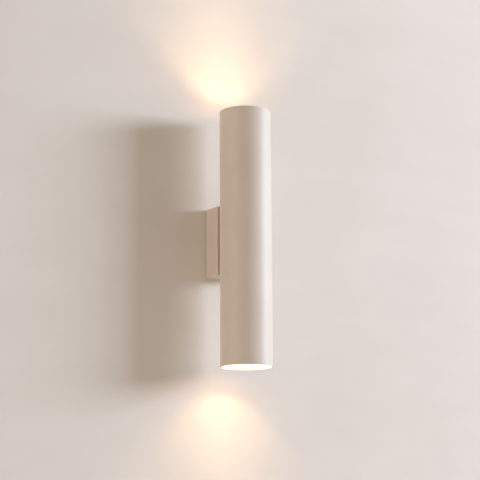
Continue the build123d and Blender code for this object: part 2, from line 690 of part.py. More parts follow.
def lampholder_screws():
    length = holder_screw_seat() - HOLDER_BACK + CARRIER_THICKNESS + HOLDER_NUT_HEIGHT + SCREW_END / 2
    one = screw(HOLDER_SCREW_DIAMETER, length, HOLDER_HEAD_DIAMETER, HOLDER_HEAD_HEIGHT)
    return [Pos(0, y, holder_screw_seat()) * one for y in holder_screw_places()]


def lampholder_nuts():
    one = nut(HOLDER_SCREW_DIAMETER, HOLDER_NUT_ACROSS_FLATS, HOLDER_NUT_HEIGHT)
    return [
        Pos(0, y, HOLDER_BACK - CARRIER_THICKNESS - HOLDER_NUT_HEIGHT) * one for y in holder_screw_places()
    ]


# ---------------------------------------------------------------- lamp, in its own frame
def turned(*points):
    """A solid of revolution from radius and height pairs."""
    return revolve(Plane.XZ * Polygon(*points, align=None), Axis.Z)


def lamp_base():
    outer, inner = LAMP_BASE_DIAMETER / 2, LAMP_BASE_DIAMETER / 2 - LAMP_BASE_WALL
    cup = ring(outer, inner, LAMP_BASE_FLOOR, LAMP_BASE_HEIGHT) + rod(outer, 0, LAMP_BASE_FLOOR)
    cup = chamfer(cup.edges().group_by(Axis.Z)[0], LAMP_EDGE_ROUND)
    for x in (-PIN_SPACING / 2, PIN_SPACING / 2):
        cup -= rod(PIN_NECK_DIAMETER / 2 + THREAD_GAP, 0, LAMP_BASE_FLOOR, "Z", (x, 0))
    return cup


def lamp_pins():
    shank = rod(PIN_NECK_DIAMETER / 2, -PIN_NECK_LENGTH, LAMP_BASE_FLOOR)
    rivet = rod(PIN_HEAD_DIAMETER / 2, LAMP_BASE_FLOOR, LAMP_BASE_FLOOR + PIN_RIVET_HEIGHT)
    head = rod(PIN_HEAD_DIAMETER / 2, PIN_END, -PIN_NECK_LENGTH)
    head = chamfer(head.edges().group_by(Axis.Z)[0], PIN_TOP_CHAMFER)
    one = Pos(PIN_SPACING / 2, 0, 0) * (shank + rivet + head)
    return [Rot(0, 0, angle) * one for angle in pin_angles()]


def lamp_housing():
    """A finned aluminium sleeve that widens from the base to the bezel."""
    foot = LAMP_BASE_HEIGHT - LAMP_JOINT_OVERLAP
    neck_top = foot + LAMP_NECK_HEIGHT
    bezel_low = LAMP_LENGTH - LAMP_BEZEL_HEIGHT
    rim = LAMP_DIAMETER / 2
    bore = LAMP_BASE_DIAMETER / 2 + LAMP_PIECE_GAP
    lens_bore = rim - LAMP_BEZEL_WIDTH
    ledge = lens_bore - LENS_LEDGE
    board_bore = LED_BOARD_DIAMETER / 2 + LAMP_PIECE_GAP
    core = LAMP_CORE_DIAMETER / 2
    flare_top = bezel_low - (rim - core)
    body = turned(
        (bore, foot),
        (LAMP_NECK_DIAMETER / 2, foot),
        (LAMP_NECK_DIAMETER / 2, neck_top),
        (core, flare_top),
        (rim, bezel_low),
        (rim, LAMP_LENGTH),
        (lens_bore, LAMP_LENGTH),
        (lens_bore, LENS_BACK),
        (ledge, LENS_BACK),
        (board_bore, LED_BOARD_TOP + LED_BOARD_THICKNESS),
        (board_bore, LED_BOARD_SEAT),
        (bore, LED_BOARD_SEAT),
    )
    body = fillet(body.edges().group_by(Axis.Z)[-1], LAMP_EDGE_ROUND)
    fin_profile = Polygon(
        (LAMP_NECK_DIAMETER / 2 - LAMP_PIECE_GAP, neck_top),
        (LAMP_NECK_DIAMETER / 2 + LAMP_FIN_THICKNESS / 2, neck_top),
        (rim, bezel_low),
        (core - LAMP_PIECE_GAP, flare_top),
        align=None,
    )
    fin = extrude(Plane.XZ * fin_profile, LAMP_FIN_THICKNESS / 2, both=True)
    return body + [Rot(0, 0, 360 * (i + 0.5) / LAMP_FINS) * fin for i in range(LAMP_FINS)]


def lamp_lens():
    """The clear front disc, with the cone behind it that gathers the emitter's light."""
    disc_radius = LAMP_DIAMETER / 2 - LAMP_BEZEL_WIDTH - LAMP_PIECE_GAP
    cone_back = EMITTER_TOP + LENS_TO_EMITTER_GAP
    return turned(
        (0, cone_back),
        (LENS_CONE_BACK_DIAMETER / 2, cone_back),
        (LENS_CONE_FRONT_DIAMETER / 2, LENS_BACK),
        (disc_radius, LENS_BACK),
        (disc_radius, LENS_FRONT),
        (0, LENS_FRONT),
    )


def lamp_led_board():
    board = rod(LED_BOARD_DIAMETER / 2, LED_BOARD_SEAT, LED_BOARD_TOP)
    return board + rod(EMITTER_DIAMETER / 2, LED_BOARD_TOP, EMITTER_TOP)


def lamp_driver_board():
    """An upright board that stands on the pin rivets, with a capacitor on it."""
    half_width, half_thickness = DRIVER_BOARD_WIDTH / 2, DRIVER_BOARD_THICKNESS / 2
    low, high = LAMP_BASE_FLOOR + PIN_RIVET_HEIGHT, LED_BOARD_SEAT - DRIVER_TO_LED_BOARD_GAP
    board = block((-half_width, half_width), (-half_thickness, half_thickness), (low, high))
    capacitor = rod(
        CAPACITOR_DIAMETER / 2,
        high - CAPACITOR_LENGTH,
        high,
        "Z",
        (0, half_thickness + CAPACITOR_DIAMETER / 2 - THREAD_GAP),
    )
    return board + capacitor


# ---------------------------------------------------------------- leads
def grommet_place(index):
    """Where a lead lies in the grommet: five of them in a ring."""
    angle = radians(90 + 72 * index)
    return LEAD_RING_RADIUS * cos(angle), LEAD_RING_RADIUS * sin(angle)


def lead(points, name, free_runs=None):
    """A round lead along straight runs and tangent arcs. It prints the arcs' radii.

    free_runs limits how far a corner's arc may reach back along its runs, by the corner's place."""
    corners = [Vector(*p) for p in points]
    radii = []
    for i, (before, corner, after) in enumerate(zip(corners, corners[1:], corners[2:]), start=1):
        turn = radians((corner - before).get_angle(after - corner))
        reach = 0.45 * min((corner - before).length, (after - corner).length)
        reach = min(reach, (free_runs or {}).get(i, reach))
        radii.append(reach / tan(turn / 2))
    path = FilletPolyline(*corners, radius=radii)
    print(f"{name}: length {path.length:.0f} mm, bend radii", *(f"{r:.1f}" for r in radii))
    section = Plane(origin=path @ 0, z_dir=path % 0) * Circle(LEAD_RADIUS)
    return sweep(section, path)


def block_run(start_x, start_z, pole_x, layer=0.0):
    """From the grommet up across the front of the terminal block and down into a pole."""
    front_y, top = LEAD_FRONT_Y - layer, LEAD_TOP + layer
    return [
        (start_x, front_y, start_z),
        (pole_x, front_y, top),
        (pole_x, INSERT_Y, top),
        (pole_x, INSERT_Y, TERMINAL_TOP - INSERT_INSET + LEAD_END_GAP),
    ]


def lampholder_lead(half, side, grommet_index, pole_x):
    """half is 1 for the upper lampholder and -1 for the lower; side is the lead's side in X."""
    grommet_x, grommet_z = grommet_place(grommet_index)
    x = side * PIN_SPACING / 2
    start = LAMP_BASE_HEIGHT_IN_TUBE + CONTACT_TAIL_END - LEAD_END_GAP
    points = [
        (x, AXIS_Y, half * start),
        (x, AXIS_Y, half * (start - LEAD_DROP)),
        (0.9 * x, AXIS_Y + LEAD_SWING, half * LEAD_SWING_HEIGHT),
        (grommet_x, TUBE_BACK_INNER_Y - LEAD_STRAIGHT_IN_TUBE, grommet_z),
    ]
    layer = LEAD_LAYER if half > 0 else 0.0
    run = block_run(grommet_x, grommet_z, pole_x, layer)
    free_runs = {len(points): past_grommet(layer)}
    return lead(points + run, f"{'upper' if half > 0 else 'lower'} lead {side:+d}", free_runs)


def past_grommet(layer=0.0):
    """How much room a lead has to turn between the grommet and the front of the terminal block."""
    return LEAD_FRONT_Y - layer - (BOX_FRONT_INNER_Y + GROMMET_FLANGE_THICKNESS)


def body_earth_lead(pole_x):
    grommet_x, grommet_z = grommet_place(0)
    lug_z = CARRIER_EARTH_HEIGHT + LUG_BARREL_OFFSET
    loop_y = CARRIER_FRONT_Y - LUG_BARREL_LENGTH - EARTH_LEAD_LOOP
    points = [
        (grommet_x, CARRIER_FRONT_Y - LUG_THICKNESS - LEAD_END_GAP, lug_z),
        (grommet_x, loop_y, lug_z),
        (grommet_x, loop_y, grommet_z),
    ]
    run = block_run(grommet_x, grommet_z, pole_x)
    return lead(points + run, "body earth lead", {len(points): past_grommet()})


def bracket_earth_lead(pole_x):
    lug_z = BRACKET_EARTH_HEIGHT + LUG_BARREL_OFFSET
    bow_y = PLATE_FRONT_Y - LUG_BARREL_LENGTH - EARTH_LEAD_BOW
    points = [
        (pole_x, INSERT_Y, TERMINAL_TOP - INSERT_INSET + LEAD_END_GAP),
        (pole_x, INSERT_Y, LEAD_TOP),
        ((pole_x + BRACKET_EARTH_ACROSS) / 2, bow_y, (LEAD_TOP + lug_z) / 2),
        (BRACKET_EARTH_ACROSS, bow_y, lug_z),
        (BRACKET_EARTH_ACROSS, PLATE_FRONT_Y - LUG_THICKNESS - LEAD_END_GAP, lug_z),
    ]
    return lead(points, "bracket earth lead")


def leads():
    live, earth, neutral = POLE_X
    beside = LEAD_PAIR_SPACING / 2
    return {
        "upper_live_lead": lampholder_lead(1, -1, 1, live - beside),
        "upper_neutral_lead": lampholder_lead(1, 1, 4, neutral + beside),
        "lower_live_lead": lampholder_lead(-1, -1, 2, live + beside),
        "lower_neutral_lead": lampholder_lead(-1, 1, 3, neutral - beside),
        "body_earth_lead": body_earth_lead(earth - beside),
        "bracket_earth_lead": bracket_earth_lead(earth + beside),
    }


# ---------------------------------------------------------------- files
def nodes():
    """Every sub-part by name. A list is a group of separate identical pieces."""
    found = {
        "tube_body": tube_body(),
        "wall_box": wall_box(),
        "wall_bracket": wall_bracket(),
        "box_lock_screws": box_lock_screws(),
        "supply_bush": supply_bush(),
        "tube_fixing_screws": tube_fixing_screws(),
        "tube_fixing_washers": tube_fixing_washers(),
        "tube_fixing_nuts": tube_fixing_nuts(),
        "tube_grommet": tube_grommet(),
        "lamp_carrier": lamp_carrier(),
        "terminal_block": terminal_block(),
        "terminal_inserts": terminal_inserts(),
        "terminal_clamp_screws": terminal_clamp_screws(),
        "terminal_fixing_screw": terminal_fixing_screw(),
        "earth_lugs": earth_lugs(),
        "earth_screws": earth_screws(),
        "earth_washers": earth_washers(),
    }
    in_each_half = {
        "lampholder_body": lampholder_body(),
        "lampholder_cover": lampholder_cover(),
        "lampholder_contacts": lampholder_contacts(),
        "lampholder_screws": lampholder_screws(),
        "lampholder_nuts": lampholder_nuts(),
        "lamp_base": lamp_base(),
        "lamp_pins": lamp_pins(),
        "lamp_housing": lamp_housing(),
        "lamp_lens": lamp_lens(),
        "lamp_led_board": lamp_led_board(),
        "lamp_driver_board": lamp_driver_board(),
    }
    for name, pieces in in_each_half.items():
        for half, place in (("upper", upper), ("lower", lower)):
            several = isinstance(pieces, list)
            found[f"{half}_{name}"] = [place(p) for p in pieces] if several else place(pieces)
    return found | leads()


def main():
    os.makedirs("parts", exist_ok=True)
    for name, shape in nodes().items():
        pieces = shape if isinstance(shape, list) else [shape]
        solids = [s for piece in pieces for s in piece.solids()]
        export_step(Compound(solids) if len(solids) > 1 else solids[0], f"parts/{name}.step")


main()
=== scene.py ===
"""An upright tube wall light, lit, on a plain pale wall: its looks, its light and the camera."""
import json
import math

import bmesh
import bpy
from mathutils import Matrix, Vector


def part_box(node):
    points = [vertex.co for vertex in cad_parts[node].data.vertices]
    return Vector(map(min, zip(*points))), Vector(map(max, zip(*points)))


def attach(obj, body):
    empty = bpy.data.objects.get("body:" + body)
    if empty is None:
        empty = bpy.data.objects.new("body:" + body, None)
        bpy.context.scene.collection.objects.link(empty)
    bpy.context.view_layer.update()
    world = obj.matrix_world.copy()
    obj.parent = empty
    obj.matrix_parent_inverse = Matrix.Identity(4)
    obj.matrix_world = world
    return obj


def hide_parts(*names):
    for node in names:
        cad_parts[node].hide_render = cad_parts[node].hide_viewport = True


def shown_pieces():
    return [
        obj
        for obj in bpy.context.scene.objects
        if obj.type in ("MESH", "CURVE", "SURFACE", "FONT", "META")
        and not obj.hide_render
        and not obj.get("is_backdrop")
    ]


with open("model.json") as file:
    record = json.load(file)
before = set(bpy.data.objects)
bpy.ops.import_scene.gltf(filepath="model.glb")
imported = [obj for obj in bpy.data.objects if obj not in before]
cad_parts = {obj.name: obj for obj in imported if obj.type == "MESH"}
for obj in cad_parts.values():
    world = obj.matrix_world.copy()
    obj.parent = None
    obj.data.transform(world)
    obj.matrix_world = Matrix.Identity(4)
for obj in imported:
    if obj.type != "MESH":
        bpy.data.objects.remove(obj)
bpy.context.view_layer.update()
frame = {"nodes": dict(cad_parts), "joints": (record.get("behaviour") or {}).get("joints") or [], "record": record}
nodes = frame["nodes"]
slot_of = {row["node"]: row["material_slot"] for row in frame["record"]["subparts"]}
for imported in list(bpy.data.materials):
    bpy.data.materials.remove(imported)

AXIS_Y = frame["joints"][0]["pos_m"][1]  # the tube's own axis, about which the lamps turn
LENS_RADIUS, _, LENS_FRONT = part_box("upper_lamp_lens")[1]
BOX_HALF_WIDTH, _, BOX_HALF_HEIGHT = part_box("wall_box")[1]
_, _, TUBE_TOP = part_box("tube_body")[1]
HALVES = {"upper": 1, "lower": -1}  # the way in which each lamp points along Z

# ---- camera, fitted to the photograph ----
CAMERA_PLACE = (-0.8774, -1.40157, -0.33381)
CAMERA_TURN = (1.774038, 0.005217, -0.572283)
CAMERA_LENS = 106.66
CAMERA_SENSOR = 36.0

# ---- the cool key light, from the right ----
KEY_AZIMUTH = 60.0  # degrees from the wall's normal, towards +X
KEY_ELEVATION = 10.0
KEY_DISTANCE = 3.5
KEY_SIZE = (1.52, 0.82)
KEY_WATTS = 134.0
KEY_COLOUR = (0.715, 0.79, 0.935)

# ---- the weak warm fill, from the left and close to the wall ----
FILL_PLACE = (-1.8, -0.22, 0.0)
FILL_SIZE = (0.4, 2.4)
FILL_WATTS = 9.0
FILL_COLOUR = (1.0, 0.79, 0.68)

# ---- the back light, which shows the side towards the wall ----
BACK_DISTANCE = 2.0
BACK_SIZE = 1.0
BACK_WATTS = 10.0
BACK_COLOUR = (1.0, 0.97, 0.93)

# ---- the surroundings, as light and as seen ----
AMBIENT = (0.43, 0.364, 0.306)
BACKGROUND = (0.93, 0.92, 0.905)

# ---- the lamps' own light, as discs that face out of the tube ----
LENS_GAP = 0.0007  # from the lens to the first disc
DISC_STEP = 0.0003  # from one disc to the next
RIM_DEPTH = 0.0040  # of the disc that stands for the lit inner wall
LAMP_BEAMS = [  # name, height, degrees, watts, disc, colour
    ("rim", TUBE_TOP - RIM_DEPTH, 180.0, 0.016, 0.052, (1.0, 0.62, 0.28)),
    ("open", LENS_FRONT + LENS_GAP, 180.0, 0.046, 0.040, (1.0, 0.66, 0.36)),
    ("wide", LENS_FRONT + LENS_GAP + DISC_STEP, 146.0, 0.094, 0.017, (1.0, 0.65, 0.35)),
    ("narrow", LENS_FRONT + LENS_GAP + 2 * DISC_STEP, 62.0, 0.034, 0.030, (1.0, 0.66, 0.43)),
]
LAMP_SHARE = {"upper": 1.0, "lower": 0.81}  # the lower glow is a little weaker

# ---- materials ----
GLOSS_SCALE = 900  # of the noise that varies the gloss of a smooth surface


def srgb(*levels):
    """A colour written as 0 to 255 levels, as the linear values that Blender takes."""
    linear = [c / 255 / 12.92 if c <= 10 else ((c / 255 + 0.055) / 1.055) ** 2.4 for c in levels]
    return (*linear, 1.0)


class Surface:
    """A Principled material, with short calls for the nodes that feed it.

    A node's socket is a keyword: its name with _ for a space, or _ and its number.
    """

    NOISE_SPAN = (0.3, 0.7)  # where most of a noise lies

    def __init__(self, roughness, metallic=0.0, **uniform):
        self.material = bpy.data.materials.new("surface")
        self.material.use_nodes = True
        self.tree = self.material.node_tree
        self.shader = self.tree.nodes["Principled BSDF"]
        self.shader.inputs["Metallic"].default_value = metallic
        self.shader.inputs["Roughness"].default_value = roughness
        for socket, value in uniform.items():
            self.shader.inputs[socket.replace("_", " ")].default_value = value
        self.place = self.node("ShaderNodeTexCoord").outputs["Object"]

    def node(self, kind, settings=None, **sockets):
        made = self.tree.nodes.new(kind)
        for key, value in (settings or {}).items():
            setattr(made, key, value)
        for socket, value in sockets.items():
            key = int(socket[1:]) if socket[0] == "_" else socket.replace("_", " ")
            self.feed(made.inputs[key], value)
        return made

    def feed(self, socket, value):
        """Links a node's output to a socket, or sets a plain value on it."""
        if isinstance(value, bpy.types.NodeSocket):
            self.tree.links.new(value, socket)
        else:
            socket.default_value = value

    def math(self, operation, *values):
        made = self.tree.nodes.new("ShaderNodeMath")
        made.operation = operation
        for socket, value in zip(made.inputs, values):
            self.feed(socket, value)
        return made.outputs[0]

    def stretched(self, stretch):
        """The object's own coordinates, stretched."""
        return self.node("ShaderNodeMapping", Vector=self.place, Scale=stretch).outputs[0]

    def noise(self, scale, detail=3.0, roughness=0.5, place=None, output="Fac"):
        return self.node("ShaderNodeTexNoise", Vector=place or self.place, Scale=scale, Detail=detail,
                         Roughness=roughness).outputs[output]

    def cells(self, scale, output="Distance", place=None, distance="EUCLIDEAN"):
        return self.node("ShaderNodeTexVoronoi", {"distance": distance}, Vector=place or self.place,
                         Scale=scale).outputs[output]

    def waves(self, value, pitch):
        """A sine over a distance, with one wave to each pitch."""
        return self.math("SINE", self.math("MULTIPLY", value, 2 * math.pi / pitch))

    def spread(self, value, low, high, to_low=0.0, to_high=1.0):
        """A value from low to high, as one from to_low to to_high."""
        return self.node("ShaderNodeMapRange", _0=value, _1=low, _2=high, _3=to_low, _4=to_high).outputs[0]

    def varied(self, noise, to_low=0.0, to_high=1.0):
        """A noise as a value that varies from to_low to to_high."""
        return self.spread(noise, *self.NOISE_SPAN, to_low, to_high)

    def mix(self, factor, first, second):
        made = self.node("ShaderNodeMix", {"data_type": "RGBA"})
        self.feed(made.inputs["Factor"], factor)
        self.feed(made.inputs[6], first)
        self.feed(made.inputs[7], second)
        return made.outputs[2]

    def colour(self, value):
        self.feed(self.shader.inputs["Base Color"], value)

    def rough(self, value):
        self.feed(self.shader.inputs["Roughness"], value)

    def bump(self, height, distance, strength=1.0, below=None):
        """Raises the surface by a height from 0 to 1 times a distance in metres."""
        made = self.node("ShaderNodeBump", Height=height, Distance=distance, Strength=strength)
        if below is not None:
            self.feed(made.inputs["Normal"], below)
        self.feed(self.shader.inputs["Normal"], made.outputs[0])
        return made.outputs[0]

    def seen_by_camera(self):
        return self.node("ShaderNodeLightPath").outputs["Is Camera Ray"]

    def instead(self, factor, other):
        """Shows another shader by a factor from 0 to 1."""
        blend = self.node("ShaderNodeMixShader", _0=factor, _1=self.shader.outputs[0], _2=other.outputs[0])
        self.feed(self.tree.nodes["Material Output"].inputs["Surface"], blend.outputs[0])

    def coordinates(self):
        return self.node("ShaderNodeSeparateXYZ", Vector=self.place).outputs

    def distance(self, across, along):
        """The length of a line from its two sides."""
        squares = self.math("ADD", self.math("POWER", across, 2.0), self.math("POWER", along, 2.0))
        return self.math("SQRT", squares)

    def from_axis(self):
        """The distance from the tube's axis, in metres."""
        x, y, _ = self.coordinates()
        return self.distance(x, self.math("SUBTRACT", y, AXIS_Y))

    def near(self, value, place, reach):
        """1 where a value lies nearer to a place than its reach, and 0 elsewhere."""
        return self.math("LESS_THAN", self.math("ABSOLUTE", self.math("SUBTRACT", value, place)), reach)


def powder_coat(roughness=0.5):
    """Satin powder coat: a fine sandy grain on a slight orange peel, with a faint drift of tone."""
    grain_scale, peel_scale, drift_scale = 1500, 420, 28
    grain_height, peel_height = 0.00006, 0.00012
    speck_span, speck_share = (0.34, 0.66), 0.55
    s = Surface(roughness)
    grain = s.noise(grain_scale, 4.0, 0.6)
    tone = s.mix(s.varied(s.noise(drift_scale)), srgb(210, 200, 185), srgb(215, 205, 191))
    specks = s.math("MULTIPLY", s.spread(grain, *speck_span), speck_share)
    s.colour(s.mix(specks, tone, srgb(221, 212, 199)))
    s.rough(s.varied(grain, roughness - 0.06, roughness + 0.10))
    peel = s.bump(s.noise(peel_scale, 2.0), peel_height, 0.35)
    s.bump(grain, grain_height, 0.55, below=peel)
    return s.material


def zinc(low, high, streaks=(60, 60, 900), roughness=0.36):
    """Bright zinc plate: feathered crystal patches under rolling or turning marks."""
    crystal_scale, wander_scale, wander = 360, 900, 0.0016
    mark_height = 0.00003
    s = Surface(roughness, 1.0)
    feathered = s.node("ShaderNodeVectorMath", {"operation": "MULTIPLY_ADD"},
                       _0=s.noise(wander_scale, output="Color"), _1=(wander,) * 3, _2=s.place).outputs[0]
    patches = s.cells(crystal_scale, output="Color", place=feathered)
    marks = s.noise(1.0, 4.0, 0.6, s.stretched(streaks))
    cloud = s.math("MULTIPLY", s.math("ADD", patches, s.varied(marks)), 0.5)
    s.colour(s.mix(cloud, low, high))
    s.rough(s.spread(cloud, 0.2, 0.8, roughness - 0.06, roughness + 0.14))
    s.bump(marks, mark_height, 0.5)
    return s.material


def plain_metal(low, high, roughness):
    """Bare metal with a cloudy stain and a fine grain."""
    stain_scale, grain_scale, grain_height = 350, 2200, 0.00002
    s = Surface(roughness, 1.0)
    stain = s.noise(stain_scale, 4.0, 0.6)
    s.colour(s.mix(s.spread(stain, 0.35, 0.7), low, high))
    s.rough(s.varied(stain, roughness - 0.07, roughness + 0.10))
    s.bump(s.noise(grain_scale), grain_height, 0.5)
    return s.material


def moulded(low, high, roughness, grain_scale=1600, grain_height=0.00003):
    """Moulded plastic or rubber: a cloudy tone and a fine surface."""
    cloud_scale = 120
    s = Surface(roughness)
    grain = s.noise(grain_scale)
    s.colour(s.mix(s.varied(s.noise(cloud_scale, 4.0, 0.55)), low, high))
    s.rough(s.varied(grain, roughness - 0.06, roughness + 0.08))
    s.bump(grain, grain_height, 0.6)
    return s.material


def ceramic():
    """Unglazed steatite: chalky, with fine rust-grey specks that thin out in places."""
    cloud_scale, thinning_scale = 90, 300
    speck_scale, speck_size = 900, 0.16
    grain_scale, grain_height = 2600, 0.00005
    s = Surface(0.62)
    body = s.mix(s.varied(s.noise(cloud_scale)), srgb(232, 226, 215), srgb(241, 237, 229))
    specks = s.math("LESS_THAN", s.cells(speck_scale), speck_size)
    shown = s.math("MULTIPLY", specks, s.spread(s.noise(thinning_scale), 0.45, 0.6))
    s.colour(s.mix(shown, body, srgb(176, 160, 142)))
    grain = s.noise(grain_scale, 3.0, 0.6)
    s.rough(s.varied(grain, 0.52, 0.74))
    s.bump(grain, grain_height, 0.6)
    return s.material


def cast_aluminium():
    """Satin aluminium, turned on its front ring: rings round the axis over a cast grain."""
    turning_pitch, turning_height = 0.00045, 0.000012
    cloud_scale, grain_scale, grain_height = 160, 1800, 0.00003
    s = Surface(0.36, 1.0)
    grain = s.noise(grain_scale, 3.0, 0.6)
    s.colour(s.mix(s.varied(s.noise(cloud_scale)), srgb(205, 207, 209), srgb(222, 223, 224)))
    s.rough(s.varied(grain, 0.30, 0.48))
    turned = s.bump(s.waves(s.from_axis(), turning_pitch), turning_height, 0.5)
    s.bump(grain, grain_height, 0.5, below=turned)
    return s.material


def lit_lens():
    """A clear moulded optic over a lit emitter: hottest at its middle, in faint rings."""
    core_start, core_end, ring_pitch = 0.0015, 0.0205, 0.0031
    falloff, core_glow, edge_glow = 2.2, 0.95, 0.30
    s = Surface(0.16, IOR=1.58, Coat_Weight=0.3)
    from_axis = s.from_axis()
    core = s.spread(from_axis, core_start, core_end, 1.0, 0.0)
    hot = s.math("MULTIPLY", s.math("POWER", core, falloff), core_glow)
    rings = s.spread(s.waves(from_axis, ring_pitch), -1.0, 1.0, 0.90, 1.08)
    s.colour(s.mix(core, srgb(128, 121, 108), srgb(150, 142, 124)))
    s.feed(s.shader.inputs["Emission Color"], s.mix(core, (1.0, 0.68, 0.38, 1), (1.0, 0.90, 0.72, 1)))
    s.feed(s.shader.inputs["Emission Strength"],
           s.math("MULTIPLY", s.math("ADD", hot, edge_glow), rings))
    s.rough(s.varied(s.noise(GLOSS_SCALE), 0.10, 0.22))
    return s.material


def led_board():
    """White mask over two copper halves, four tinned pads and the yellow emitter in the middle."""
    mask_scale, emitter_radius = 240, 0.0039
    rim_radius, gap_place, line_half_width = 0.0172, 0.0012, 0.00016
    pad_place, pad_radius = (0.0105, 0.0042), 0.0014
    s = Surface(0.45)
    from_axis = s.from_axis()
    x, y, _ = s.coordinates()
    across = s.math("ABSOLUTE", x)
    along = s.math("ABSOLUTE", s.math("SUBTRACT", y, AXIS_Y))
    lines = s.math("MAXIMUM", s.near(along, gap_place, line_half_width),
                   s.near(from_axis, rim_radius, line_half_width))
    from_pad = s.distance(s.math("SUBTRACT", across, pad_place[0]), s.math("SUBTRACT", along, pad_place[1]))
    pad = s.math("LESS_THAN", from_pad, pad_radius)
    mask = s.mix(s.varied(s.noise(mask_scale)), srgb(232, 231, 225), srgb(241, 240, 235))
    lined = s.mix(lines, mask, srgb(206, 205, 198))
    tinned = s.mix(pad, lined, srgb(190, 190, 188))
    s.colour(s.mix(s.math("LESS_THAN", from_axis, emitter_radius), tinned, srgb(240, 208, 66)))
    s.rough(s.spread(pad, 0.0, 1.0, s.varied(s.noise(GLOSS_SCALE), 0.38, 0.55), 0.25))
    return s.material


def driver_board():
    """Green solder mask over lighter tracks that run in steps."""
    cell_scale, tracks_to_a_cell = 520, 4.0
    track_share, track_height = 0.3, 0.00003
    s = Surface(0.4)
    steps = s.math("MULTIPLY", s.cells(cell_scale, distance="CHEBYCHEV"), tracks_to_a_cell)
    tracks = s.math("LESS_THAN", s.math("FRACT", steps), track_share)
    s.colour(s.mix(tracks, srgb(22, 84, 48), srgb(52, 122, 70)))
    s.rough(s.varied(s.noise(GLOSS_SCALE), 0.32, 0.5))
    s.bump(tracks, track_height, 0.6)
    return s.material


def earth_sleeve():
    """Green and yellow bands that run round the lead on a slant."""
    band_length, yellow_share, slant = 0.0052, 0.4, 0.6
    grain_scale, grain_height = 1500, 0.00003
    s = Surface(0.45)
    x, y, z = s.coordinates()
    along = s.math("ADD", z, s.math("MULTIPLY", s.math("SUBTRACT", x, y), slant))
    yellow = s.math("LESS_THAN", s.math("FRACT", s.math("DIVIDE", along, band_length)), yellow_share)
    grain = s.noise(grain_scale)
    green = s.mix(grain, srgb(40, 128, 48), srgb(58, 146, 62))
    s.colour(s.mix(yellow, green, srgb(232, 204, 44)))
    s.rough(s.varied(grain, 0.38, 0.52))
    s.bump(grain, grain_height, 0.5)
    return s.material


TURNED = (900, 900, 900)  # the marks on a screw are the same each way
RUBBER_GRAIN = (1300, 0.00005)
looks = {
    "powder_coat": powder_coat(),
    "coated_screw": powder_coat(roughness=0.44),
    "zinc_steel": zinc(srgb(186, 190, 195), srgb(214, 217, 220)),
    "zinc_fastener": zinc(srgb(205, 204, 196), srgb(228, 228, 224), streaks=TURNED, roughness=0.3),
    "brass": plain_metal(srgb(201, 168, 96), srgb(226, 198, 128), roughness=0.3),
    "spring_contact": plain_metal(srgb(202, 196, 184), srgb(222, 218, 208), roughness=0.28),
    "bush_rubber": moulded(srgb(38, 38, 39), srgb(54, 54, 55), 0.68, *RUBBER_GRAIN),
    "grommet_rubber": moulded(srgb(40, 40, 41), srgb(58, 57, 56), 0.62, *RUBBER_GRAIN),
    "terminal_plastic": moulded(srgb(226, 226, 218), srgb(238, 238, 232), roughness=0.42),
    "holder_ceramic": ceramic(),
    "lamp_base_plastic": moulded(srgb(234, 233, 228), srgb(243, 242, 238), roughness=0.3),
    "lamp_aluminium": cast_aluminium(),
    "lamp_lens": lit_lens(),
    "led_board": led_board(),
    "driver_board": driver_board(),
    "live_sleeve": moulded(srgb(104, 62, 36), srgb(122, 76, 46), roughness=0.46),
    "neutral_sleeve": moulded(srgb(46, 88, 152), srgb(62, 106, 168), roughness=0.46),
    "earth_sleeve": earth_sleeve(),
}
for slot, material in looks.items():
    material.name = slot
for node, slot in slot_of.items():
    nodes[node].data.materials.clear()
    nodes[node].data.materials.append(looks[slot])

# ---- pieces of the scene's own ----
SHARP_ANGLE = math.radians(40)


def add_object(name, data):
    made = bpy.data.objects.new(name, data)
    bpy.context.scene.collection.objects.link(made)
    return made


def piece(name, make, slot, body):
    """A new object from what make puts in an empty bmesh, in the slot's look, riding on a body."""
    mesh = bpy.data.meshes.new(name)
    bm = bmesh.new()
    make(bm)
    bmesh.ops.recalc_face_normals(bm, faces=bm.faces)
    for face in bm.faces:
        face.smooth = True
    for edge in bm.edges:
        edge.smooth = edge.calc_face_angle(0.0) < SHARP_ANGLE
    bm.to_mesh(mesh)
    bm.free()
    mesh.materials.append(looks[slot])
    made = add_object(name, mesh)
    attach(made, body)
    return made


def bridge(bm, low, high):
    """Joins two closed rings of as many vertices by a band of faces."""
    count = len(low)
    for k in range(count):
        bm.faces.new((low[k], low[(k + 1) % count], high[(k + 1) % count], high[k]))


# The moulded front of each lens: small dimples in hexagonal order round a middle dome
DIMPLE_PITCH = 0.0023
DIMPLE_ROW = DIMPLE_PITCH * math.sqrt(0.75)
DIMPLE_RADIUS = 0.00108
DIMPLE_HEIGHT = 0.00036
DIMPLE_SIDES, DIMPLE_STEPS = 10, 3
DIMPLE_MARGIN = 1.5 * DIMPLE_RADIUS  # between the lens's rim and a dimple's middle
MIDDLE_DOME_RADIUS = 0.0046
MIDDLE_DOME_HEIGHT = 0.00044
MIDDLE_DOME_SIDES, MIDDLE_DOME_STEPS = 40, 6
DOME_SUNK = 0.00008  # how far each one reaches into the lens


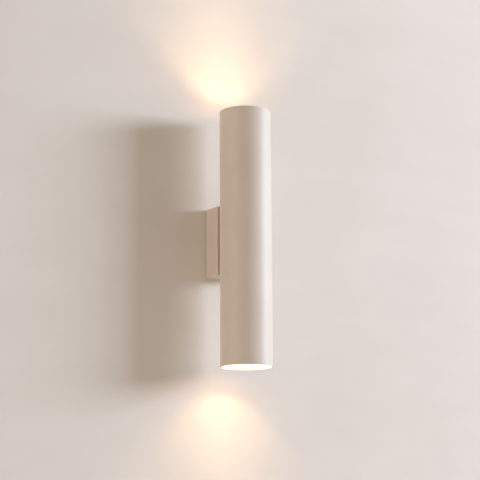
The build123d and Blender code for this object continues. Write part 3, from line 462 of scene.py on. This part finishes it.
def dome(bm, x, y, z, way, radius, height, sides, steps):
    """A closed rounded cap that stands on Z = z and points up or down."""
    rings = []
    for i in range(steps):
        rise = i / steps * math.pi / 2
        r, h = radius * math.cos(rise), height * math.sin(rise)
        turns = (2 * math.pi * k / sides for k in range(sides))
        rings.append([bm.verts.new((x + r * math.cos(t), y + r * math.sin(t), z + way * h)) for t in turns])
    foot = [bm.verts.new((v.co.x, v.co.y, z - way * DOME_SUNK)) for v in rings[0]]
    tip = bm.verts.new((x, y, z + way * height))
    rings.insert(0, foot)
    for low, high in zip(rings, rings[1:]):
        bridge(bm, low, high)
    for k in range(sides):
        bm.faces.new((rings[-1][k], rings[-1][(k + 1) % sides], tip))
    bm.faces.new(foot)


def lens_front(way):
    """Makes the front of the lens that points up or down."""
    reach = LENS_RADIUS - DIMPLE_MARGIN
    rows = int(reach / DIMPLE_ROW) + 1
    z = way * LENS_FRONT

    def make(bm):
        for j in range(-rows, rows + 1):
            for i in range(-rows, rows + 1):
                x, y = (i + 0.5 * (j % 2)) * DIMPLE_PITCH, j * DIMPLE_ROW
                if MIDDLE_DOME_RADIUS + DIMPLE_RADIUS < math.hypot(x, y) < reach:
                    dome(bm, x, AXIS_Y + y, z, way, DIMPLE_RADIUS, DIMPLE_HEIGHT, DIMPLE_SIDES, DIMPLE_STEPS)
        dome(bm, 0, AXIS_Y, z, way, MIDDLE_DOME_RADIUS, MIDDLE_DOME_HEIGHT,
             MIDDLE_DOME_SIDES, MIDDLE_DOME_STEPS)
    return make


for half, way in HALVES.items():
    piece(f"{half}_lens_dimples", lens_front(way), "lamp_lens", f"{half}_lamp")

# Screws with cut threads
M4, M3, M2_5 = (0.0040, 0.00070), (0.0030, 0.00050), (0.0025, 0.00045)  # diameter and pitch
Y, Z = 1, 2  # the axes' places in a vector
THREADED_SCREWS = [
    ("box_lock_screws", Z, M4),
    ("tube_fixing_screws", Y, M4),
    ("earth_screws", Y, M4),
    ("upper_lampholder_screws", Z, M3),
    ("lower_lampholder_screws", Z, M3),
    ("terminal_fixing_screw", Y, M2_5),
]
PLAIN_SHANK_GAP = 0.00005  # how much smaller the plain shank's radius is than the thread's
THREAD_DEPTH = 0.61  # in pitches
THREAD_CREST_GAP = 0.00002
THREAD_ROOT, THREAD_CREST = 0.42, 0.07  # half widths, in pitches
THREAD_SUNK = 0.1  # how far the ridge reaches into the core, in pitches
THREAD_STEPS = 24  # in each turn
THREAD_RUN_OUT = 10  # steps in which the ridge grows out of the core
WELD = 1e-6


def islands(bm):
    """The separate solids of a mesh, each as a list of its vertices."""
    left = set(bm.verts)
    while left:
        found, to_visit = [], [left.pop()]
        while to_visit:
            vert = to_visit.pop()
            found.append(vert)
            for edge in vert.link_edges:
                other = edge.other_vert(vert)
                if other in left:
                    left.remove(other)
                    to_visit.append(other)
        yield found


def ridge(bm, centre, axis, start, end, core, crest, pitch):
    """A helical thread ridge round a shank, from start to end along its axis."""
    way = 1 if end > start else -1
    start, end = start + way * pitch / 2, end - way * pitch / 2
    steps = int(abs(end - start) / pitch * THREAD_STEPS)
    a, b = (axis + 1) % 3, (axis + 2) % 3
    rings = []
    for i in range(steps + 1):
        grown = min(1.0, i / THREAD_RUN_OUT, (steps - i) / THREAD_RUN_OUT)
        turn = 2 * math.pi * i / THREAD_STEPS
        height = start + (end - start) * i / steps
        root, top = core - THREAD_SUNK * pitch, core + (crest - core) * grown
        profile = ((root, -THREAD_ROOT), (top, -THREAD_CREST), (top, THREAD_CREST), (root, THREAD_ROOT))
        ring = []
        for radius, half_width in profile:
            place = Vector((0, 0, 0))
            place[axis] = height + half_width * pitch
            place[a] = centre[a] + radius * math.cos(turn)
            place[b] = centre[b] + way * radius * math.sin(turn)
            ring.append(bm.verts.new(place))
        rings.append(ring)
    for low, high in zip(rings, rings[1:]):
        bridge(bm, low, high)
    bm.faces.new(rings[0])
    bm.faces.new(rings[-1])


def cut_threads(node, axis, diameter, pitch):
    """Makes the node's screws again, with each shank down to its core and a ridge round it."""
    plain, core = diameter / 2 - PLAIN_SHANK_GAP, diameter / 2 - THREAD_DEPTH * pitch
    crest = diameter / 2 - THREAD_CREST_GAP

    def make(bm):
        bm.from_mesh(nodes[node].data)
        bmesh.ops.remove_doubles(bm, verts=bm.verts, dist=WELD)
        for screw in list(islands(bm)):
            low = [min(v.co[k] for v in screw) for k in range(3)]
            high = [max(v.co[k] for v in screw) for k in range(3)]
            centre = Vector([(p + q) / 2 for p, q in zip(low, high)])
            centre[axis] = 0
            shank = []
            for v in screw:
                out = v.co - centre
                out[axis] = 0
                if abs(out.length - plain) < PLAIN_SHANK_GAP / 2:
                    shank.append((v, out.normalized() * (plain - core)))
            along = [v.co[axis] for v, _ in shank]
            ends = (max(along), min(along))
            head, tip = ends if abs(ends[1] - low[axis]) < WELD else ends[::-1]
            for v, inwards in shank:
                v.co -= inwards
            ridge(bm, centre, axis, head, tip, core, crest, pitch)
    return make


for node, axis, size in THREADED_SCREWS:
    made = piece(f"{node}_threaded", cut_threads(node, axis, *size), slot_of[node], "luminaire")
    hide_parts(node)

# ---- wall and floor, not part of the object ----
STAGE_REACH = 6.0
WALL_GAP = 0.0009  # the wall stands a little behind the box, which leaves a thin line of shade
WALL_HOLE_INSET = 0.0015  # the hole behind the box is this much smaller, so that the box hides it
FLOOR_HEIGHT = -1.8


def wall_paint():
    """Pale plaster paint with faint trowel strokes. The camera looks through it from behind."""
    cloud_scale, stroke_stretch, stroke_height = 7.0, (8.0, 8.0, 24.0), 0.0015
    s = Surface(0.85)
    strokes = s.noise(1.0, place=s.stretched(stroke_stretch))
    blend = s.math("MULTIPLY", s.math("ADD", s.noise(cloud_scale, 4.0, 0.55), strokes), 0.5)
    s.colour(s.mix(s.spread(blend, 0.35, 0.65), srgb(225, 219, 210), srgb(230, 224, 215)))
    s.bump(blend, stroke_height, 0.5)
    backfacing = s.node("ShaderNodeNewGeometry").outputs["Backfacing"]
    s.instead(s.math("MULTIPLY", backfacing, s.seen_by_camera()), s.node("ShaderNodeBsdfTransparent"))
    return s.material


def floor_paint():
    """Pale, and nearly plain to the camera however brightly the far floor is lit."""
    cloud_scale, plain_share = 3.0, 0.85
    s = Surface(0.85)
    clouds = s.spread(s.noise(cloud_scale, 4.0), 0.35, 0.65)
    s.colour(s.mix(clouds, srgb(222, 216, 209), srgb(228, 223, 217)))
    plain = s.node("ShaderNodeEmission", Color=srgb(236, 234, 230))
    s.instead(s.math("MULTIPLY", s.seen_by_camera(), plain_share), plain)
    return s.material


def stage_mesh(name, corners, faces, paint):
    mesh = bpy.data.meshes.new(name)
    mesh.from_pydata(corners, [], faces)
    paint.name = f"{name}_paint"
    mesh.materials.append(paint)
    add_object(name, mesh)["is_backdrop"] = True


def upright(left, right, bottom, top):
    """The corners of a rectangle in the wall's plane, in turn."""
    places = ((left, bottom), (right, bottom), (right, top), (left, top))
    return [(x, WALL_GAP, z) for x, z in places]


hole_x, hole_z = BOX_HALF_WIDTH - WALL_HOLE_INSET, BOX_HALF_HEIGHT - WALL_HOLE_INSET
hole = upright(-hole_x, hole_x, -hole_z, hole_z)
outline = upright(-STAGE_REACH, STAGE_REACH, FLOOR_HEIGHT, STAGE_REACH)
wall_faces = [(4 + i, 4 + (i + 1) % 4, (i + 1) % 4, i) for i in range(4)]
stage_mesh("wall", hole + outline, wall_faces, wall_paint())
signs = ((-1, -1), (1, -1), (1, 1), (-1, 1))
floor_corners = [(x * STAGE_REACH, y * STAGE_REACH, FLOOR_HEIGHT) for x, y in signs]
stage_mesh("floor", floor_corners, [(0, 1, 2, 3)], floor_paint())


# ---- light ----
def light(name, watts, colour, place, towards, **settings):
    """An area light that the camera doesn't see."""
    data = bpy.data.lights.new(name, "AREA")
    data.energy, data.color = watts, colour
    for key, value in settings.items():
        setattr(data, key, value)
    made = add_object(name, data)
    made.location = place
    made.rotation_mode = "QUATERNION"
    made.rotation_quaternion = (Vector(towards) - Vector(place)).to_track_quat("-Z", "Y")
    made.visible_camera = False
    return made


azimuth, elevation = math.radians(KEY_AZIMUTH), math.radians(KEY_ELEVATION)
key_way = Vector((math.sin(azimuth) * math.cos(elevation), -math.cos(azimuth) * math.cos(elevation),
                  math.sin(elevation)))
light("key", KEY_WATTS, KEY_COLOUR, key_way * KEY_DISTANCE, (0, 0, 0),
      shape="RECTANGLE", size=KEY_SIZE[0], size_y=KEY_SIZE[1])
light("fill", FILL_WATTS, FILL_COLOUR, FILL_PLACE, (0, *FILL_PLACE[1:]),
      shape="RECTANGLE", size=FILL_SIZE[0], size_y=FILL_SIZE[1])
for half, way in HALVES.items():
    for beam, height, spread, watts, disc, colour in LAMP_BEAMS:
        light(f"{half}_{beam}_beam", watts * LAMP_SHARE[half], colour, (0, AXIS_Y, way * height),
              (0, AXIS_Y, way), shape="DISK", size=disc, spread=math.radians(spread))

# The back light's place is behind the wall, which neither takes nor blocks it
back = light("back", BACK_WATTS, BACK_COLOUR, (0, BACK_DISTANCE, 0), (0, 0, 0),
             shape="SQUARE", size=BACK_SIZE)
back.visible_glossy = False
whole = bpy.data.collections.new("whole_object")
bpy.context.scene.collection.children.link(whole)
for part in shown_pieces():
    whole.objects.link(part)
back.light_linking.receiver_collection = whole
back.light_linking.blocker_collection = whole


def surroundings():
    """Ambient light for the surfaces, and a pale background for the camera, gloss and glass."""
    world = bpy.data.worlds.new("surroundings")
    world.use_nodes = True
    tree = world.node_tree
    tree.nodes.clear()
    path = tree.nodes.new("ShaderNodeLightPath")
    shown = path.outputs["Is Camera Ray"]
    for ray in ("Is Glossy Ray", "Is Transmission Ray"):
        either = tree.nodes.new("ShaderNodeMath")
        either.operation = "MAXIMUM"
        tree.links.new(shown, either.inputs[0])
        tree.links.new(path.outputs[ray], either.inputs[1])
        shown = either.outputs[0]
    choice = tree.nodes.new("ShaderNodeMixShader")
    tree.links.new(shown, choice.inputs[0])
    for socket, colour in ((1, AMBIENT), (2, BACKGROUND)):
        background = tree.nodes.new("ShaderNodeBackground")
        background.inputs[0].default_value = (*colour, 1)
        tree.links.new(background.outputs[0], choice.inputs[socket])
    tree.links.new(choice.outputs[0], tree.nodes.new("ShaderNodeOutputWorld").inputs[0])
    return world


bpy.context.scene.world = surroundings()

# ---- camera ----
camera_data = bpy.data.cameras.new("camera")
camera_data.lens, camera_data.sensor_width = CAMERA_LENS, CAMERA_SENSOR
camera = add_object("camera", camera_data)
camera.location, camera.rotation_euler = CAMERA_PLACE, CAMERA_TURN
bpy.context.scene.camera = camera
bpy.context.scene.view_settings.view_transform = "Standard"
